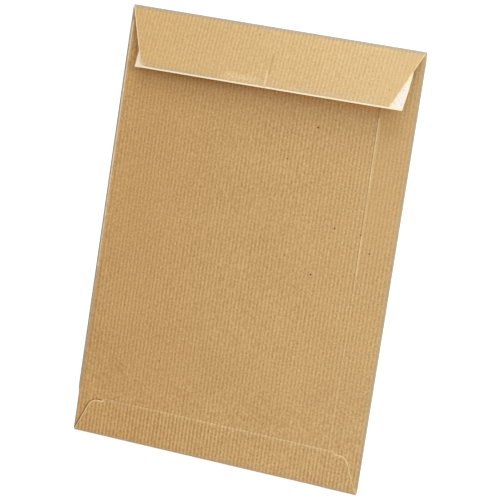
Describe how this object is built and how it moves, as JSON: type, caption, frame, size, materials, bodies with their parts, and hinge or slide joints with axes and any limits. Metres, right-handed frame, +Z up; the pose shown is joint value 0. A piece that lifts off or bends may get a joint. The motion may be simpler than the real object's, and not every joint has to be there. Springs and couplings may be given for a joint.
{
  "type": "mailing envelope",
  "caption": "C4 pocket envelope of ribbed brown kraft paper, empty, with gummed side seam and bottom flap and a half-open closing flap that carries a release liner.",
  "frame": {"origin": "on the surface that the envelope lies on, under the middle of the pocket", "axes": "+Z up from the surface through the seamed back, +Y along the length towards the closing flap's fold, +X across the width towards the side seam"},
  "size_m": [0.2289, 0.3239, 0.0175],
  "materials": {
    "ribbed_kraft": "uncoated brown kraft with fine ribs along its length",
    "contact_adhesive": "pale hot-melt adhesive film",
    "silicone_paper": "smooth white siliconed paper"
  },
  "bodies": {
    "root": {"envelope": "ribbed_kraft", "adhesive_strip": "contact_adhesive", "release_liner": "silicone_paper"}
  },
  "joints": []
}
